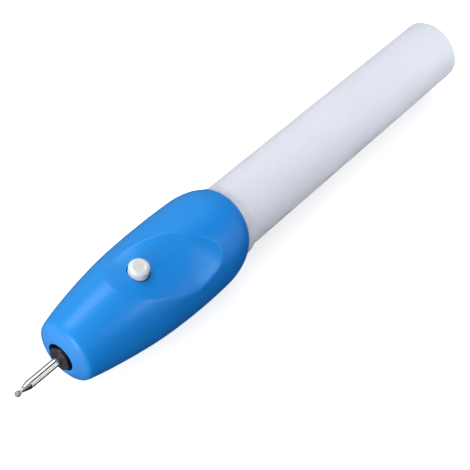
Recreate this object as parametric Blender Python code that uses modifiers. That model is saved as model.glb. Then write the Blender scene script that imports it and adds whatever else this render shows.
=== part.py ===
# Electric engraving pen, battery driven: rotary bit, blue grip, screw-on
# battery tube.  Metres, +X from the engraving tip to the tail, +Z out through
# the push button, origin under the middle of the pen as it lies on a table.
import bpy
import bmesh
import math
from mathutils import Matrix, Vector

for _ob in list(bpy.data.objects):
    bpy.data.objects.remove(_ob, do_unlink=True)

MM = 0.001

# ---------------------------------------------------------------- dimensions
# Lengths in millimetres.  Stations are distances from the tip of the bit.
LENGTH = 165.6            # tip to tail
AXIS_Z = 13.16            # height of the pen's axis: the largest grip radius
SEG = 60                  # facets round a large turned piece
SEG_M = 40                # facets round a middling one
SEG_S = 24                # facets round a small one

# bit
HEAD_R = 0.85
NECK_R = 0.55
SHANK_R = 1.175           # 3/32 inch shank
SHANK_END = 22.5

# grip: outer radius at each station
GRIP_OUTER = [(14.86, 4.15), (14.80, 4.35), (14.87, 5.0), (15.22, 6.0), (15.66, 7.0),
              (15.98, 7.65), (16.2, 8.02), (16.5, 8.33), (16.9, 8.55), (17.5, 8.76),
              (18.6, 9.04), (20.5, 9.5), (23.0, 10.05),
              (26.5, 10.71), (30.0, 11.33), (33.5, 11.85), (37.0, 12.31),
              (41.0, 12.69), (45.0, 12.93), (49.0, 13.08), (53.0, 13.16),
              (57.0, 13.16), (60.5, 13.06), (63.0, 12.97), (65.0, 12.83),
              (66.6, 12.56), (68.1, 12.18), (69.4, 11.70), (70.4, 11.20),
              (71.0, 10.80), (71.25, 10.60)]
GRIP_INNER = [(71.3, 10.42), (62.6, 10.42), (61.8, 10.12), (31.0, 10.12), (29.2, 9.35),
              (22.0, 7.5), (17.6, 5.6), (16.6, 3.92), (15.06, 3.92)]
# the barrel's middle rises above the axis towards the nose, its hole less so
RISE = 0.9
RISE_HOLE = 0.5
RISE_FROM, RISE_TO = 57.0, 17.0
SLANT = 2.6               # rear rim leans: top this much further back
SLANT_FROM, SLANT_TO = 52.0, 68.0

# thumb dish: an oval set askew on the barrel
SCOOP_X = 46.9
SCOOP_ROUND = 16.9        # degrees round from the button towards -Y
SCOOP_SKEW = 24.6         # degrees the long axis is turned
SCOOP_LONG, SCOOP_WIDE = 15.5, 8.1
# how far it is sunk along its own long axis (-1 front end, +1 rear end); the
# depth falls to nothing at the oval's rim
DISH = [(-1.0, 1.0), (-0.5, 1.62), (0.0, 1.95), (0.3, 2.12), (0.55, 2.5), (0.8, 2.95), (1.0, 3.3)]

# push button and switch
BUTTON_X = 40.4
BUTTON_R = 2.72
BUTTON_TOP = 13.8        # above the axis
BUTTON_HOLE_R = 3.05
BUTTON_TRAVEL = 1.2
FLANGE_R = 3.7
FLANGE_LOW, FLANGE_HIGH = 9.5, 10.05
SWITCH_LOW, SWITCH_HIGH = 6.08, 8.0

# motor: flat-sided can
CAN_FRONT, CAN_REAR = 30.0, 47.4
CAN_R, CAN_HALF = 7.75, 6.0
CAN_WALL = 0.45
CAP_REAR = 49.2
MOTOR_SHAFT_R = 1.0

# chuck
CHUCK_FRONT, CHUCK_REAR = 14.2, 28.3
CHUCK_R = 3.2

# carrier and its thread
CARRIER_R = 9.9
CARRIER_FRONT = 31.0
CARRIER_REAR = 74.6
WALL_FRONT, WALL_REAR = 52.5, 54.9
THREAD_CORE = 8.6
THREAD_CREST = 9.2
LEAD = 2.5
THREAD_FROM, THREAD_TO = 65.2, 73.6
THREAD_PLAY = 0.18

# battery tube
MOUTH_FRONT = 64.4
MOUTH_R = 10.2
MOUTH_END = 75.4
FLARE = [(71.6, 10.2), (73.4, 10.16), (74.3, 10.05), (75.0, 9.86), (75.7, 9.62), (76.3, 9.45), (77.0, 9.36)]
FLARE_END = 77.6
TUBE_R_FRONT, TUBE_R_TAIL = 9.34, 8.92
TUBE_BORE = 7.5
TAIL_WALL = 2.1
TAIL_EDGE = 1.2

# cells
CELL_R = 7.1
CELL_LEN = 49.1
NUB_LEN = 1.05
NUB_R = 2.7
CELL1 = 55.45

GAP = 0.05

# ---------------------------------------------------------------- collections
PARTS = bpy.data.collections.new("electric_engraving_pen")
CUTS = bpy.data.collections.new("cutters")
bpy.context.scene.collection.children.link(PARTS)
bpy.context.scene.collection.children.link(CUTS)


# ---------------------------------------------------------------- materials
def material(name, rgb, metallic=0.0, rough=0.5):
    m = bpy.data.materials.new(name)
    m.use_nodes = True
    b = m.node_tree.nodes["Principled BSDF"]
    b.inputs["Base Color"].default_value = (rgb[0], rgb[1], rgb[2], 1.0)
    b.inputs["Metallic"].default_value = metallic
    b.inputs["Roughness"].default_value = rough
    m.diffuse_color = (rgb[0], rgb[1], rgb[2], 1.0)
    return m


BLUE = material("blue_plastic", (0.018, 0.25, 0.75), 0.0, 0.32)
WHITE = material("white_plastic", (0.78, 0.79, 0.86), 0.0, 0.4)
CAPWHITE = material("button_plastic", (0.80, 0.82, 0.84), 0.0, 0.35)
INNER = material("carrier_plastic", (0.62, 0.63, 0.64), 0.0, 0.5)
BLACK = material("black_plastic", (0.02, 0.018, 0.02), 0.0, 0.55)
STEEL = material("polished_steel", (0.62, 0.61, 0.59), 1.0, 0.18)
GRIT = material("diamond_grit", (0.30, 0.30, 0.30), 0.5, 0.75)
ZINC = material("zinc_steel", (0.50, 0.51, 0.52), 1.0, 0.35)
CORE = material("core_steel", (0.22, 0.22, 0.23), 1.0, 0.5)
COPPER = material("enamelled_copper", (0.50, 0.16, 0.05), 1.0, 0.35)
BRASS = material("brass", (0.62, 0.45, 0.16), 1.0, 0.3)
FERRITE = material("ferrite", (0.035, 0.035, 0.037), 0.0, 0.7)
NICKEL = material("nickel_plate", (0.66, 0.64, 0.60), 1.0, 0.25)
JACKET = material("cell_jacket", (0.055, 0.06, 0.07), 0.0, 0.4)
RED = material("red_insulation", (0.45, 0.015, 0.012), 0.0, 0.45)
DARK = material("black_insulation", (0.012, 0.012, 0.012), 0.0, 0.45)
CARBON = material("carbon", (0.03, 0.03, 0.03), 0.0, 0.6)


# ---------------------------------------------------------------- helpers
def world(s, y=0.0, z=0.0):
    """World position of a point given by station, side and height over the axis."""
    return Vector(((s - LENGTH / 2) * MM, y * MM, (AXIS_Z + z) * MM))


def add(name, mesh, mat, coll=PARTS):
    ob = bpy.data.objects.new(name, mesh)
    coll.objects.link(ob)
    if mat is not None:
        mesh.materials.append(mat)
    if coll is CUTS:
        ob.hide_render = True
        ob.display_type = 'WIRE'
    return ob


def smooth(ob, angle=35.0):
    ob.data.polygons.foreach_set("use_smooth", [True] * len(ob.data.polygons))
    ob.data.set_sharp_from_angle(angle=math.radians(angle))


def area(loop):
    a = 0.0
    for i in range(len(loop)):
        r0, z0 = loop[i]
        r1, z1 = loop[(i + 1) % len(loop)]
        a += r0 * z1 - r1 * z0
    return a / 2


def turned(name, loop, mat, origin=None, seg=SEG_M, coll=PARTS, side=0.0, up=0.0, axis='X'):
    """Turned piece.  loop = (radius, station) pairs round the section; a
    section that starts and ends on the axis is left open there."""
    if area(loop) > 0:
        loop = loop[::-1]
    on_axis = [i for i, (r, z) in enumerate(loop) if r == 0.0]
    if on_axis:
        # start just after the step that runs along the axis
        n = len(loop)
        for i in range(n):
            if loop[i][0] == 0.0 and loop[(i - 1) % n][0] == 0.0:
                loop = loop[i:] + loop[:i]
                break
    z0 = origin if origin is not None else loop[0][1]
    me = bpy.data.meshes.new(name)
    verts = [(r * MM, 0.0, (s - z0) * MM) for r, s in loop]
    edges = [(i, i + 1) for i in range(len(loop) - 1)]
    if not on_axis:
        edges.append((len(loop) - 1, 0))
    me.from_pydata(verts, edges, [])
    ob = add(name, me, mat, coll)
    m = ob.modifiers.new("turn", 'SCREW')
    m.axis = 'Z'
    m.angle = 2 * math.pi
    m.steps = seg
    m.render_steps = seg
    m.use_merge_vertices = True
    m.merge_threshold = 0.000001
    m.use_smooth_shade = True
    m.use_normal_calculate = False
    if axis == 'X':
        ob.rotation_euler = (0.0, math.pi / 2, 0.0)
        ob.location = world(z0, side, up)
    else:
        ob.location = (side, up, z0)
    return ob


def boxed(name, s0, s1, y0, y1, z0, z1, mat=None, coll=PARTS):
    """Block between two stations, two sides and two heights over the axis."""
    me = bpy.data.meshes.new(name)
    bm = bmesh.new()
    bmesh.ops.create_cube(bm, size=1.0)
    bmesh.ops.scale(bm, vec=((s1 - s0) * MM, (y1 - y0) * MM, (z1 - z0) * MM), verts=bm.verts)
    bm.to_mesh(me)
    bm.free()
    ob = add(name, me, mat, coll)
    ob.location = world((s0 + s1) / 2, (y0 + y1) / 2, (z0 + z1) / 2)
    return ob


def boolean(ob, cutter, kind='DIFFERENCE'):
    m = ob.modifiers.new(kind.lower(), 'BOOLEAN')
    m.operation = kind
    m.object = cutter
    m.solver = 'EXACT'
    return m


def rounded(ob, width, segments=2, angle=40.0):
    m = ob.modifiers.new("edges", 'BEVEL')
    m.width = width * MM
    m.segments = segments
    m.limit_method = 'ANGLE'
    m.angle_limit = math.radians(angle)
    m.harden_normals = False
    return m


def upright(name, loop, s, mat, seg=SEG_S, coll=PARTS, side=0.0):
    """Turned piece whose own axis stands up (+Z) at a station; loop = (radius, height)."""
    ob = turned(name, loop, mat, origin=0.0, seg=seg, coll=coll, axis='Z')
    ob.rotation_euler = (0.0, 0.0, 0.0)
    ob.location = world(s, side, 0.0)
    return ob


def wire(name, points, radius, mat, coll=PARTS, smooth_path=True):
    """Round wire through (station, side, height) points."""
    pts = [world(*p) for p in points]
    if smooth_path:
        path = []
        n = len(pts)
        for i in range(n - 1):
            p0 = pts[max(i - 1, 0)]
            p1, p2 = pts[i], pts[i + 1]
            p3 = pts[min(i + 2, n - 1)]
            for k in range(5):
                t = k / 5
                path.append(0.5 * ((2 * p1) + (p2 - p0) * t + (2 * p0 - 5 * p1 + 4 * p2 - p3) * t * t
                                   + (3 * p1 - p0 - 3 * p2 + p3) * t ** 3))
        path.append(pts[-1])
    else:
        path = pts
    origin = path[0]
    cu = bpy.data.curves.new(name, 'CURVE')
    cu.dimensions = '3D'
    cu.bevel_depth = radius * MM
    cu.bevel_resolution = 2
    cu.use_fill_caps = True
    sp = cu.splines.new('POLY')
    sp.points.add(len(path) - 1)
    for q, v in zip(sp.points, path):
        d = v - origin
        q.co = (d.x, d.y, d.z, 1.0)
    ob = bpy.data.objects.new(name, cu)
    coll.objects.link(ob)
    cu.materials.append(mat)
    ob.location = origin
    return ob


def interp(table, x):
    if x <= table[0][0]:
        return table[0][1]
    for (x0, v0), (x1, v1) in zip(table, table[1:]):
        if x <= x1:
            return v0 + (v1 - v0) * (x - x0) / (x1 - x0)
    return table[-1][1]


def ease(t):
    t = max(0.0, min(1.0, t))
    return t * t * (3 - 2 * t)


# ---------------------------------------------------------------- grip shell
# Lofted rings: square to the axis at the nose, leaning at the rear rim.
def lean(s):
    return SLANT * ease((s - SLANT_FROM) / (SLANT_TO - SLANT_FROM))


def rise(s, r):
    """Height above the axis of the middle of the outer ring (s, r)."""
    up = RISE * ease((RISE_FROM - s) / (RISE_FROM - RISE_TO))
    if s < 16.5:
        up = RISE_HOLE + (up - RISE_HOLE) * ease((r - 4.0) / 4.0)
    return up


def raised(r, up, a):
    """Distance from the axis, at angle a, to a circle of radius r whose middle is up above it."""
    return up * math.cos(a) + math.sqrt(r * r - (up * math.sin(a)) ** 2)


def loft(name, rings, mat, seg, coll=PARTS):
    """Closed shell through rings (station, radius, rise); last ring joins the first."""
    me = bpy.data.meshes.new(name)
    bm = bmesh.new()
    rows = []
    o = world(0.0)
    for s, r, up in rings:
        row = []
        for j in range(seg):
            a = 2 * math.pi * j / seg
            p = world(s + lean(s) * math.cos(a), r * math.sin(a), r * math.cos(a) + up) - o
            row.append(bm.verts.new(p))
        rows.append(row)
    n = len(rows)
    for i in range(n):
        a_, b_ = rows[i], rows[(i + 1) % n]
        for j in range(seg):
            k = (j + 1) % seg
            bm.faces.new((a_[j], b_[j], b_[k], a_[k]))
    bmesh.ops.recalc_face_normals(bm, faces=bm.faces)
    bm.to_mesh(me)
    bm.free()
    ob = add(name, me, mat, coll)
    ob.location = o
    return ob


grip_rings = [(s, r, rise(s, r)) for s, r in GRIP_OUTER]
grip_rings += [(s, r, RISE_HOLE * (1.0 - ease((s - 17.0) / 8.0))) for s, r in GRIP_INNER]
grip = loft("grip_shell", grip_rings, BLUE, SEG)

# dish: a patch that runs under the barrel inside the oval and over it outside
turn = math.radians(SCOOP_ROUND)
out = Vector((0.0, -math.sin(turn), math.cos(turn)))
along = Vector((1.0, 0.0, 0.0))
across = out.cross(along)
skew = math.radians(-SCOOP_SKEW)
ax = along * math.cos(skew) + across * math.sin(skew)
ay = out.cross(ax)
middle = Vector((SCOOP_X, 0.0, 0.0)) + out * 12.0


def dish_depth(x, y, z):
    """Depth below a barrel point given in millimetres from the axis; negative outside the oval."""
    p = Vector((x, y, z)) - middle
    u, v = p.dot(ax) / SCOOP_LONG, p.dot(ay) / SCOOP_WIDE
    # steeper just below the crisp edge on the +Y side, least so at the rear
    steep = 1.0 + 0.9 * ease((v + 0.1) / 0.7) * (1.0 - 0.75 * ease((u + 0.1) / 0.8))
    # the oval narrows towards its rear end, more so on the +Y side
    narrow = 0.36 * ease((u - 0.2) / 0.5) if v > 0 else 0.3 * ease((u - 0.45) / 0.35)
    return max(-1.5, interp(DISH, u) * (1.0 - (u * u + v * v * (1.0 + narrow)) ** steep))


me = bpy.data.meshes.new("dish")
bm = bmesh.new()
low, high = [], []
for i in range(30):
    s = 28.9 + 1.25 * i
    r = interp(GRIP_OUTER, s)
    up = rise(s, r)
    row_l, row_h = [], []
    for j in range(35):
        a = math.radians(-86.0 + 4.0 * j)
        x = s + lean(s) * math.cos(a)
        q = raised(r, up, a)
        q -= dish_depth(x + 0.58 * up, q * math.sin(a) + 0.32 * up, q * math.cos(a) - 0.9 * up)
        row_l.append(bm.verts.new(world(x, q * math.sin(a), q * math.cos(a))))
        row_h.append(bm.verts.new(world(x, 17.0 * math.sin(a), 17.0 * math.cos(a))))
    low.append(row_l)
    high.append(row_h)
for i in range(29):
    for j in range(34):
        bm.faces.new((low[i][j], low[i + 1][j], low[i + 1][j + 1], low[i][j + 1]))
        bm.faces.new((high[i][j], high[i][j + 1], high[i + 1][j + 1], high[i + 1][j]))
    for j, k in ((0, 1), (34, -1)):
        f = (low[i][j], high[i][j], high[i + 1][j], low[i + 1][j])
        bm.faces.new(f if k > 0 else f[::-1])
for j in range(34):
    for i, k in ((0, -1), (29, 1)):
        f = (low[i][j], high[i][j], high[i][j + 1], low[i][j + 1])
        bm.faces.new(f if k > 0 else f[::-1])
bmesh.ops.triangulate(bm, faces=bm.faces)
bmesh.ops.recalc_face_normals(bm, faces=bm.faces)
bm.to_mesh(me)
bm.free()
dish = add("dish", me, None, CUTS)
boolean(grip, dish)

hole = upright("button_hole", [(0.0, 9.0), (BUTTON_HOLE_R, 9.0), (BUTTON_HOLE_R, 15.0), (0.0, 15.0)],
               BUTTON_X, None, seg=32, coll=CUTS)
pocket = upright("flange_pocket", [(0.0, 8.0), (4.1, 8.0), (4.1, 10.2), (0.0, 10.2)],
                 BUTTON_X, None, seg=32, coll=CUTS)
boolean(grip, pocket)
boolean(grip, hole)
smooth(grip, 30.0)

# ---------------------------------------------------------------- push button
cap = upright("button_cap", [(0.0, FLANGE_LOW), (FLANGE_R, FLANGE_LOW), (FLANGE_R, FLANGE_HIGH),
                             (BUTTON_R, FLANGE_HIGH), (BUTTON_R, BUTTON_TOP - 0.75),
                             (BUTTON_R - 0.05, BUTTON_TOP - 0.5), (BUTTON_R - 0.2, BUTTON_TOP - 0.28),
                             (BUTTON_R - 0.5, BUTTON_TOP - 0.1), (BUTTON_R - 0.9, BUTTON_TOP - 0.02),
                             (BUTTON_R - 1.3, BUTTON_TOP), (0.0, BUTTON_TOP)],
              BUTTON_X, CAPWHITE, seg=32)

sw = boxed("switch_body", BUTTON_X - 4.0, BUTTON_X + 4.0, -3.3, 3.3, SWITCH_LOW, SWITCH_HIGH, BLACK)
sw_bore = upright("switch_bore", [(0.0, SWITCH_LOW + 0.45), (1.8, SWITCH_LOW + 0.45), (1.8, 9.0), (0.0, 9.0)],
                  BUTTON_X, None, seg=24, coll=CUTS)
rounded(sw, 0.25, 2)
boolean(sw, sw_bore)
upright("switch_plunger", [(0.0, 7.85), (1.55, 7.85), (1.55, 9.3), (1.4, 9.45), (0.0, 9.45)],
        BUTTON_X, BLACK, seg=SEG_S)
for tag, y in (("a", 1.7), ("b", -1.7)):
    t = boxed("switch_terminal_" + tag, BUTTON_X + 4.05, BUTTON_X + 6.2, y - 0.6, y + 0.6, 7.0, 7.3, BRASS)

# ---------------------------------------------------------------- chuck and bit
turned("chuck", [(1.2, CHUCK_FRONT + 0.15), (1.45, CHUCK_FRONT), (CHUCK_R - 0.25, CHUCK_FRONT),
                 (CHUCK_R, CHUCK_FRONT + 0.25), (CHUCK_R, 17.2), (4.2, 17.9), (4.2, CHUCK_REAR - 0.4),
                 (3.8, CHUCK_REAR), (MOTOR_SHAFT_R + 0.03, CHUCK_REAR), (MOTOR_SHAFT_R + 0.03, 23.4),
                 (1.2, 23.2)], BLACK, seg=SEG_M)
turned("bit_shank", [(0.0, 1.42), (NECK_R, 1.42), (NECK_R, 2.0), (0.62, 2.4), (SHANK_R, 4.6),
                     (SHANK_R, SHANK_END - 0.3), (SHANK_R - 0.25, SHANK_END), (0.0, SHANK_END)],
       STEEL, seg=28)
steps = 9
head = [(0.0, 0.0)]
for i in range(1, steps + 1):
    a = math.radians(-90 + i * 130 / steps)
    head.append((HEAD_R * math.cos(a), HEAD_R + HEAD_R * math.sin(a)))
head.append((0.0, head[-1][1]))
HEAD_END = head[-1][1]
turned("bit_head", head, GRIT, seg=24)

# ---------------------------------------------------------------- motor
def flat_sided(name, s0, s1, r, half, mat, coll=PARTS, seg=SEG_M):
    ob = turned(name, [(0.0, s0), (r, s0), (r, s1), (0.0, s1)], mat, seg=seg, coll=coll)
    lim = boxed(name + "_limit", s0 - 1, s1 + 1, -r - 1, r + 1, -half, half, None, CUTS)
    boolean(ob, lim, 'INTERSECT')
    return ob


can = flat_sided("motor_can", CAN_FRONT, CAN_REAR, CAN_R, CAN_HALF, ZINC)
room = flat_sided("can_room", CAN_FRONT + CAN_WALL, CAN_REAR + 1.0, CAN_R - CAN_WALL, CAN_HALF - CAN_WALL, None, CUTS)
boolean(can, room)
eye = turned("can_eye", [(0.0, CAN_FRONT - 1), (2.55, CAN_FRONT - 1), (2.55, CAN_FRONT + 2), (0.0, CAN_FRONT + 2)],
             None, seg=SEG_S, coll=CUTS)
boolean(can, eye)
turned("front_bushing", [(1.06, 28.9), (2.1, 28.9), (2.5, 29.2), (2.5, 31.4), (1.06, 31.4)], BRASS, seg=SEG_S)

endcap = flat_sided("motor_end_cap", CAN_REAR + GAP, CAP_REAR, CAN_R, CAN_HALF, BLACK)
cap_eye = turned("cap_eye", [(0.0, CAN_REAR - 1), (1.06, CAN_REAR - 1), (1.06, CAP_REAR + 1), (0.0, CAP_REAR + 1)],
                 None, seg=SEG_S, coll=CUTS)
boolean(endcap, cap_eye)

turned("motor_shaft", [(0.0, 23.6), (MOTOR_SHAFT_R - 0.15, 23.6), (MOTOR_SHAFT_R, 23.8), (MOTOR_SHAFT_R, 49.9),
                       (MOTOR_SHAFT_R - 0.15, 50.1), (0.0, 50.1)], STEEL, seg=SEG_S)

# arc magnets either side of the armature
for tag, sgn in (("left", 1), ("right", -1)):
    ring = turned("magnet_" + tag, [(5.6, 32.2), (7.2, 32.2), (7.2, 43.8), (5.6, 43.8)], FERRITE, seg=SEG_M)
    keep = boxed("magnet_keep_" + tag, 31.0, 45.0, (2.4 if sgn > 0 else -9.0), (9.0 if sgn > 0 else -2.4), -5.2, 5.2,
                 None, CUTS)
    boolean(ring, keep, 'INTERSECT')

# three-pole core: a disc stack with three winding slots
core = turned("armature_core", [(MOTOR_SHAFT_R + 0.03, 33.6), (5.1, 33.6), (5.1, 42.0), (MOTOR_SHAFT_R + 0.03, 42.0)],
              CORE, seg=36)
for i in range(3):
    a = math.radians(90 + 120 * i)
    c = boxed("core_slot_%d" % i, 32.0, 44.0, -0.5, 0.5, 0.0, 2.6, None, CUTS)
    c.rotation_euler = (a, 0.0, 0.0)
    c.location = world(38.0, -4.9 * math.sin(a), 4.9 * math.cos(a))
    boolean(core, c)
    c2 = turned("core_pocket_%d" % i, [(0.0, 32.0), (1.25, 32.0), (1.25, 44.0), (0.0, 44.0)], None, seg=16, coll=CUTS,
                side=-3.0 * math.sin(a), up=3.0 * math.cos(a))
    boolean(core, c2)

# coils wound round the poles, seen as the bundles at both ends of the core
for i, tag in enumerate("abc"):
    a = math.radians(30 + 120 * i)
    coil = bpy.data.meshes.new("winding_" + tag)
    bm = bmesh.new()
    bmesh.ops.create_cube(bm, size=1.0)
    bmesh.ops.scale(bm, vec=(1.15 * MM, 3.4 * MM, 1.9 * MM), verts=bm.verts)
    bm.to_mesh(coil)
    bm.free()
    ob = add("winding_" + tag, coil, COPPER)
    ob.rotation_euler = (a, 0.0, 0.0)
    ob.location = world(32.9, -2.75 * math.sin(a), 2.75 * math.cos(a))
    rounded(ob, 0.35, 2)

turned("commutator", [(MOTOR_SHAFT_R + 0.03, 42.6), (2.3, 42.6), (2.3, 46.6), (MOTOR_SHAFT_R + 0.03, 46.6)],
       COPPER, seg=SEG_S)
for tag, sgn in (("a", 1), ("b", -1)):
    y0, y1 = (2.36, 3.5) if sgn > 0 else (-3.5, -2.36)
    boxed("brush_" + tag, 44.3, 46.0, y0, y1, -0.8, 0.8, CARBON)
    y0, y1 = (3.55, 3.95) if sgn > 0 else (-3.95, -3.55)
    arm = boxed("motor_terminal_" + tag, 44.3, 51.0, y0, y1, -0.8, 0.8, BRASS)
    slot = boxed("terminal_slot_" + tag, 46.0, 52.0, y0 - 0.1, y1 + 0.1, -0.9, 0.9, None, CUTS)
    boolean(endcap, slot)


# ---------------------------------------------------------------- thread
def helix(name, s0, s1, r_root, r_crest, w_root, w_crest, coll=CUTS, per_turn=28):
    """Helical ridge, trapezoid section, right-handed about +X."""
    n = int(round((s1 - s0) / LEAD * per_turn))
    me_ = bpy.data.meshes.new(name)
    b = bmesh.new()
    rows = []
    o = world(0.0)
    for i in range(n + 1):
        s = s0 + (s1 - s0) * i / n
        a = 2 * math.pi * s / LEAD
        row = []
        for ds, r in ((-w_root / 2, r_root), (-w_crest / 2, r_crest), (w_crest / 2, r_crest), (w_root / 2, r_root)):
            row.append(b.verts.new(world(s + ds, r * math.cos(a), r * math.sin(a)) - o))
        rows.append(row)
    for p, q in zip(rows, rows[1:]):
        for k in range(4):
            l = (k + 1) % 4
            b.faces.new((p[k], q[k], q[l], p[l]))
    b.faces.new(rows[0])
    b.faces.new(rows[-1][::-1])
    bmesh.ops.recalc_face_normals(b, faces=b.faces)
    b.to_mesh(me_)
    b.free()
    ob = add(name, me_, None, coll)
    ob.location = o
    return ob


# ---------------------------------------------------------------- carrier
carrier = turned("motor_carrier",
                 [(0.0, WALL_REAR), (7.4, WALL_REAR), (7.4, CARRIER_REAR), (8.35, CARRIER_REAR),
                  (THREAD_CORE, CARRIER_REAR - 0.25), (THREAD_CORE, 64.1), (CARRIER_R, 63.9),
                  (CARRIER_R, CARRIER_FRONT), (7.95, CARRIER_FRONT), (7.95, WALL_FRONT), (0.0, WALL_FRONT)],
                 INNER, seg=SEG)
ridge = helix("male_ridge", THREAD_FROM, THREAD_TO, THREAD_CORE - 0.25, THREAD_CREST, 1.62, 0.8)
boolean(carrier, ridge, 'UNION')
window = boxed("switch_window", 33.0, 51.0, -4.7, 4.7, 5.5, 12.0, None, CUTS)
boolean(carrier, window)
tab_slot = boxed("tab_slot", 51.0, 56.0, -0.8, 0.8, 2.6, 3.4, None, CUTS)
boolean(carrier, tab_slot)
strip_way = boxed("strip_way", 51.5, 76.0, -1.5, 1.5, -7.98, -6.9, None, CUTS)
boolean(carrier, strip_way)

# ---------------------------------------------------------------- contacts
plus = turned("positive_contact", [(0.0, 55.0), (5.0, 55.0), (5.0, 55.4), (0.0, 55.4)], NICKEL, seg=SEG_S)
plus_tab = boxed("positive_tab", 51.8, 55.2, -0.6, 0.6, 2.8, 3.2, None, CUTS)
boolean(plus, plus_tab, 'UNION')
minus = turned("negative_contact", [(7.45, 74.65), (8.3, 74.65), (8.3, 75.0), (7.45, 75.0)], NICKEL, seg=SEG_M)
minus_strip = boxed("negative_strip", 51.8, 74.85, -1.2, 1.2, -7.88, -7.6, None, CUTS)
boolean(minus, minus_strip, 'UNION')

# ---------------------------------------------------------------- battery tube
TAIL = LENGTH
tube_loop = [(0.0, TAIL - TAIL_WALL), (TUBE_BORE, TAIL - TAIL_WALL), (TUBE_BORE, MOUTH_END), (8.8, MOUTH_END),
             (8.8, MOUTH_FRONT + 0.4), (9.1, MOUTH_FRONT), (9.9, MOUTH_FRONT), (MOUTH_R, MOUTH_FRONT + 0.4)]
tube_loop += [(r, s) for s, r in FLARE]
tube_loop.append((TUBE_R_FRONT, FLARE_END + 0.2))
mid = 2
for i in range(1, mid):
    s = FLARE_END + 0.2 + (TAIL - TAIL_EDGE - FLARE_END - 0.2) * i / mid
    tube_loop.append((TUBE_R_FRONT + (TUBE_R_TAIL - TUBE_R_FRONT) * i / mid, s))
for i in range(0, 7):
    a = math.radians(90 * i / 6)
    tube_loop.append((TUBE_R_TAIL - TAIL_EDGE + TAIL_EDGE * math.cos(a), TAIL - TAIL_EDGE + TAIL_EDGE * math.sin(a)))
tube_loop.append((0.0, TAIL))
tube = turned("battery_tube", tube_loop, WHITE, seg=SEG)
groove = helix("female_groove", MOUTH_FRONT - 1.0, 74.6, 8.5, THREAD_CREST + THREAD_PLAY,
               1.62 + 2 * THREAD_PLAY, 0.8 + 2 * THREAD_PLAY)
boolean(tube, groove)
tube_way = boxed("tube_way", 75.2, TAIL - TAIL_WALL - 0.1, -1.5, 1.5, -8.05, -6.9, None, CUTS)
boolean(tube, tube_way)

boxed("tube_strip", 75.1, TAIL - TAIL_WALL - 0.5, -1.2, 1.2, -7.92, -7.62, NICKEL)
turned("spring_plate", [(0.0, TAIL - TAIL_WALL - 0.45), (7.3, TAIL - TAIL_WALL - 0.45),
                        (7.3, TAIL - TAIL_WALL - 0.05), (0.0, TAIL - TAIL_WALL - 0.05)], NICKEL, seg=SEG_M)

# ---------------------------------------------------------------- cells
start = CELL1
for tag in ("front", "rear"):
    turned("cell_%s_terminal" % tag, [(0.0, start), (NUB_R - 0.2, start), (NUB_R, start + 0.2),
                                      (NUB_R, start + NUB_LEN), (0.0, start + NUB_LEN)], NICKEL, seg=SEG_S)
    a0 = start + NUB_LEN + 0.03
    a1 = a0 + CELL_LEN
    turned("cell_" + tag, [(0.0, a0), (CELL_R - 0.35, a0), (CELL_R, a0 + 0.35), (CELL_R, a1 - 0.35),
                           (CELL_R - 0.35, a1), (0.0, a1)], JACKET, seg=SEG_M)
    start = a1 + GAP
CELLS_END = start - GAP

# ---------------------------------------------------------------- tail spring
SPRING_WIRE = 0.4
s0 = CELLS_END + 0.06 + SPRING_WIRE
s1 = TAIL - TAIL_WALL - 0.45 - 0.06 - SPRING_WIRE
turns = 5
per = 16
coil_pts = []
for i in range(turns * per + 1):
    t = i / (turns * per)
    a = 2 * math.pi * turns * t
    r = 3.4 + 2.2 * t
    # first and last half turn lie flat
    rise = max(0.0, min(1.0, (t - 0.1) / 0.8))
    coil_pts.append((s0 + (s1 - s0) * rise, r * math.cos(a), r * math.sin(a)))
spring = wire("tail_spring", coil_pts, SPRING_WIRE, ZINC, smooth_path=False)
spring.data.bevel_resolution = 1

# ---------------------------------------------------------------- wires
wire("wire_positive", [(BUTTON_X + 6.7, 1.7, 7.15), (48.5, 1.9, 7.3), (50.6, 1.4, 6.6), (51.3, 0.6, 4.9),
                       (51.3, 0.0, 3.75)], 0.4, RED)
wire("wire_motor", [(BUTTON_X + 6.7, -1.7, 7.15), (48.5, -2.0, 7.3), (50.6, -2.9, 6.2), (51.45, -3.7, 3.8),
                    (51.45, -3.75, 1.3)], 0.4, RED)
wire("wire_negative", [(51.3, 0.3, -7.1), (51.3, 2.0, -6.2), (51.45, 3.4, -4.0), (51.45, 3.75, -1.3)], 0.4, DARK)
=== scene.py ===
import math

import bmesh
import bpy
import numpy as np
from mathutils import Matrix, Vector

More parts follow.
